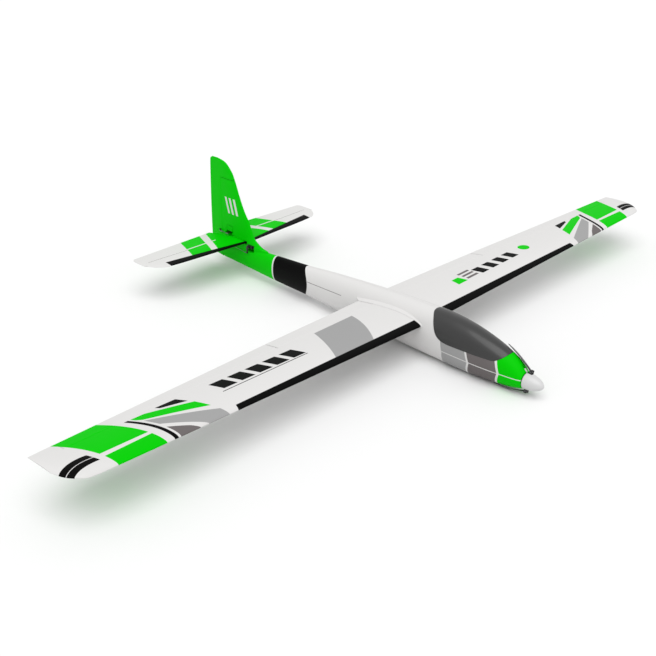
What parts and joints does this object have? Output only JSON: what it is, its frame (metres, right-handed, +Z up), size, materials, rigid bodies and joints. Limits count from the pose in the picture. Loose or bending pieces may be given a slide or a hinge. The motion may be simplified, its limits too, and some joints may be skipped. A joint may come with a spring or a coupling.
{
  "type": "rc sailplane",
  "caption": "Electric RC sailplane with flaps, ailerons, elevator and rudder on servo linkages, a lift-off canopy and a folding propeller.",
  "frame": {"origin": "under the middle of the bounding box, on the plane of the moulded flat under the belly", "axes": "+X along the port wing, -Y towards the nose and spinner, +Z up"},
  "size_m": [2.2, 1.2568, 0.35],
  "materials": {
    "white_foam": "satin moulded foam, painted",
    "green_foam": "satin moulded foam, painted green",
    "canopy_charcoal": "satin dark canopy",
    "spinner_white": "gloss moulded plastic",
    "black_plastic": "moulded plastic",
    "steel": "plain steel",
    "carbon": "pultruded carbon fibre",
    "plywood": "laser-cut plywood",
    "battery_wrap": "shrink wrap",
    "strap_webbing": "hook-and-loop webbing",
    "copper_windings": "lacquered copper wire"
  },
  "bodies": {
    "airframe": {"aileron_left_servo": "black_plastic", "aileron_right_servo": "black_plastic", "battery_pack": "battery_wrap", "battery_strap": "strap_webbing", "battery_tray": "plywood", "elevator_servo": "black_plastic", "esc": "black_plastic", "flap_left_servo": "black_plastic", "flap_right_servo": "black_plastic", "fuselage_left": "white_foam", "fuselage_right": "white_foam", "motor_base": "black_plastic", "motor_mount": "plywood", "motor_stator": "copper_windings", "receiver": "black_plastic", "rudder_servo": "black_plastic", "rudder_servo_cover": "green_foam", "sill_magnet_left": "steel", "sill_magnet_right": "steel", "stabilizer": "white_foam", "wing_joiner_tube": "carbon", "wing_left": "white_foam", "wing_rear_pin": "carbon", "wing_right": "white_foam"},
    "canopy": {"canopy": "canopy_charcoal", "canopy_magnet_left": "steel", "canopy_magnet_right": "steel"},
    "spinner": {"motor_can": "steel", "motor_shaft": "steel", "spinner_backplate": "black_plastic", "spinner_cone": "spinner_white", "prop_yoke": "black_plastic", "blade_screw_upper": "steel", "blade_screw_lower": "steel"},
    "blade_upper": {"prop_blade_upper": "black_plastic"},
    "blade_lower": {"prop_blade_lower": "black_plastic"},
    "flap_left": {"flap_left": "white_foam", "flap_left_horn": "black_plastic"},
    "flap_left_servo_arm": {"flap_left_servo_arm": "black_plastic"},
    "flap_left_pushrod": {"flap_left_pushrod": "steel"},
    "flap_right": {"flap_right": "white_foam", "flap_right_horn": "black_plastic"},
    "flap_right_servo_arm": {"flap_right_servo_arm": "black_plastic"},
    "flap_right_pushrod": {"flap_right_pushrod": "steel"},
    "aileron_left": {"aileron_left": "white_foam", "aileron_left_horn": "black_plastic"},
    "aileron_left_servo_arm": {"aileron_left_servo_arm": "black_plastic"},
    "aileron_left_pushrod": {"aileron_left_pushrod": "steel"},
    "aileron_right": {"aileron_right": "white_foam", "aileron_right_horn": "black_plastic"},
    "aileron_right_servo_arm": {"aileron_right_servo_arm": "black_plastic"},
    "aileron_right_pushrod": {"aileron_right_pushrod": "steel"},
    "elevator": {"elevator": "white_foam", "elevator_horn": "black_plastic"},
    "elevator_servo_arm": {"elevator_servo_arm": "black_plastic"},
    "elevator_pushrod": {"elevator_pushrod": "steel"},
    "rudder": {"rudder": "green_foam", "rudder_horn": "black_plastic"},
    "rudder_servo_arm": {"rudder_servo_arm": "black_plastic"},
    "rudder_pushrod": {"rudder_pushrod": "steel"}
  },
  "joints": [
    {"name": "canopy_lift", "type": "slide", "parent": "airframe", "child": "canopy", "axis": [-0.7071, 0, 0.7071], "range_m": [0, 0.12]},
    {"name": "prop_spin", "type": "hinge", "parent": "airframe", "child": "spinner", "pos_m": [0, -0.5815, 0.038], "axis": [0, 1, 0], "range_deg": [0, 60]},
    {"name": "blade_upper_fold", "type": "hinge", "parent": "spinner", "child": "blade_upper", "pos_m": [0.00769, -0.5848, 0.06168], "axis": [0.9511, 0, -0.309], "range_deg": [0, 53]},
    {"name": "blade_lower_fold", "type": "hinge", "parent": "spinner", "child": "blade_lower", "pos_m": [-0.00769, -0.5848, 0.01432], "axis": [-0.9511, 0, 0.309], "range_deg": [0, 74]},
    {"name": "flap_left_hinge", "type": "hinge", "parent": "airframe", "child": "flap_left", "pos_m": [0.232, -0.11768, 0.10503], "axis": [-0.9984, 0.0481, -0.0298], "range_deg": [-5, 50]},
    {"name": "flap_left_arm_turn", "type": "hinge", "parent": "airframe", "child": "flap_left_servo_arm", "pos_m": [0.22825, -0.19559, 0.10288], "axis": [-0.9984, 0.0481, -0.0298], "range_deg": [-5, 50]},
    {"name": "flap_left_rod_turn", "type": "hinge", "parent": "flap_left_servo_arm", "child": "flap_left_pushrod", "pos_m": [0.22872, -0.19561, 0.08688], "axis": [-0.9984, 0.0481, -0.0298], "range_deg": [-50, 5]},
    {"name": "flap_right_hinge", "type": "hinge", "parent": "airframe", "child": "flap_right", "pos_m": [-0.232, -0.11768, 0.10503], "axis": [-0.9984, -0.0481, 0.0298], "range_deg": [-5, 50]},
    {"name": "flap_right_arm_turn", "type": "hinge", "parent": "airframe", "child": "flap_right_servo_arm", "pos_m": [-0.22825, -0.19559, 0.10288], "axis": [-0.9984, -0.0481, 0.0298], "range_deg": [-5, 50]},
    {"name": "flap_right_rod_turn", "type": "hinge", "parent": "flap_right_servo_arm", "child": "flap_right_pushrod", "pos_m": [-0.22872, -0.19561, 0.08688], "axis": [-0.9984, -0.0481, 0.0298], "range_deg": [-50, 5]},
    {"name": "aileron_left_hinge", "type": "hinge", "parent": "airframe", "child": "aileron_left", "pos_m": [0.64, -0.13982, 0.11721], "axis": [0.9978, -0.0591, 0.0298], "range_deg": [-25, 25]},
    {"name": "aileron_left_arm_turn", "type": "hinge", "parent": "airframe", "child": "aileron_left_servo_arm", "pos_m": [0.63563, -0.21369, 0.11602], "axis": [0.9978, -0.0591, 0.0298], "range_deg": [-25, 25]},
    {"name": "aileron_left_rod_turn", "type": "hinge", "parent": "aileron_left_servo_arm", "child": "aileron_left_pushrod", "pos_m": [0.63598, -0.21371, 0.10402], "axis": [0.9978, -0.0591, 0.0298], "range_deg": [-25, 25]},
    {"name": "aileron_right_hinge", "type": "hinge", "parent": "airframe", "child": "aileron_right", "pos_m": [-0.64, -0.13982, 0.11721], "axis": [0.9978, 0.0591, -0.0298], "range_deg": [-25, 25]},
    {"name": "aileron_right_arm_turn", "type": "hinge", "parent": "airframe", "child": "aileron_right_servo_arm", "pos_m": [-0.63563, -0.21369, 0.11602], "axis": [0.9978, 0.0591, -0.0298], "range_deg": [-25, 25]},
    {"name": "aileron_right_rod_turn", "type": "hinge", "parent": "aileron_right_servo_arm", "child": "aileron_right_pushrod", "pos_m": [-0.63598, -0.21371, 0.10402], "axis": [0.9978, 0.0591, -0.0298], "range_deg": [-25, 25]},
    {"name": "elevator_hinge", "type": "hinge", "parent": "airframe", "child": "elevator", "pos_m": [-0.0195, 0.5235, 0.11], "axis": [1, 0, 0], "range_deg": [-20, 20]},
    {"name": "elevator_arm_turn", "type": "hinge", "parent": "airframe", "child": "elevator_servo_arm", "pos_m": [-0.0195, 0.4395, 0.103], "axis": [1, 0, 0], "range_deg": [-20, 20]},
    {"name": "elevator_rod_turn", "type": "hinge", "parent": "elevator_servo_arm", "child": "elevator_pushrod", "pos_m": [-0.0195, 0.4395, 0.085], "axis": [1, 0, 0], "range_deg": [-20, 20]},
    {"name": "rudder_hinge", "type": "hinge", "parent": "airframe", "child": "rudder", "pos_m": [0, 0.5735, 0.1215], "axis": [0, 0, 1], "range_deg": [-28, 28]},
    {"name": "rudder_arm_turn", "type": "hinge", "parent": "airframe", "child": "rudder_servo_arm", "pos_m": [0, 0.5375, 0.1215], "axis": [0, 0, 1], "range_deg": [-28, 28]},
    {"name": "rudder_rod_turn", "type": "hinge", "parent": "rudder_servo_arm", "child": "rudder_pushrod", "pos_m": [-0.012, 0.5375, 0.1215], "axis": [0, 0, 1], "range_deg": [-28, 28]}
  ],
  "couplings": [
    {"joint": "flap_left_arm_turn", "follows": "flap_left_hinge", "ratio": 1},
    {"joint": "flap_left_rod_turn", "follows": "flap_left_hinge", "ratio": -1},
    {"joint": "flap_right_arm_turn", "follows": "flap_right_hinge", "ratio": 1},
    {"joint": "flap_right_rod_turn", "follows": "flap_right_hinge", "ratio": -1},
    {"joint": "aileron_left_arm_turn", "follows": "aileron_left_hinge", "ratio": 1},
    {"joint": "aileron_left_rod_turn", "follows": "aileron_left_hinge", "ratio": -1},
    {"joint": "aileron_right_arm_turn", "follows": "aileron_right_hinge", "ratio": 1},
    {"joint": "aileron_right_rod_turn", "follows": "aileron_right_hinge", "ratio": -1},
    {"joint": "elevator_arm_turn", "follows": "elevator_hinge", "ratio": 1},
    {"joint": "elevator_rod_turn", "follows": "elevator_hinge", "ratio": -1},
    {"joint": "rudder_arm_turn", "follows": "rudder_hinge", "ratio": 1},
    {"joint": "rudder_rod_turn", "follows": "rudder_hinge", "ratio": -1}
  ]
}
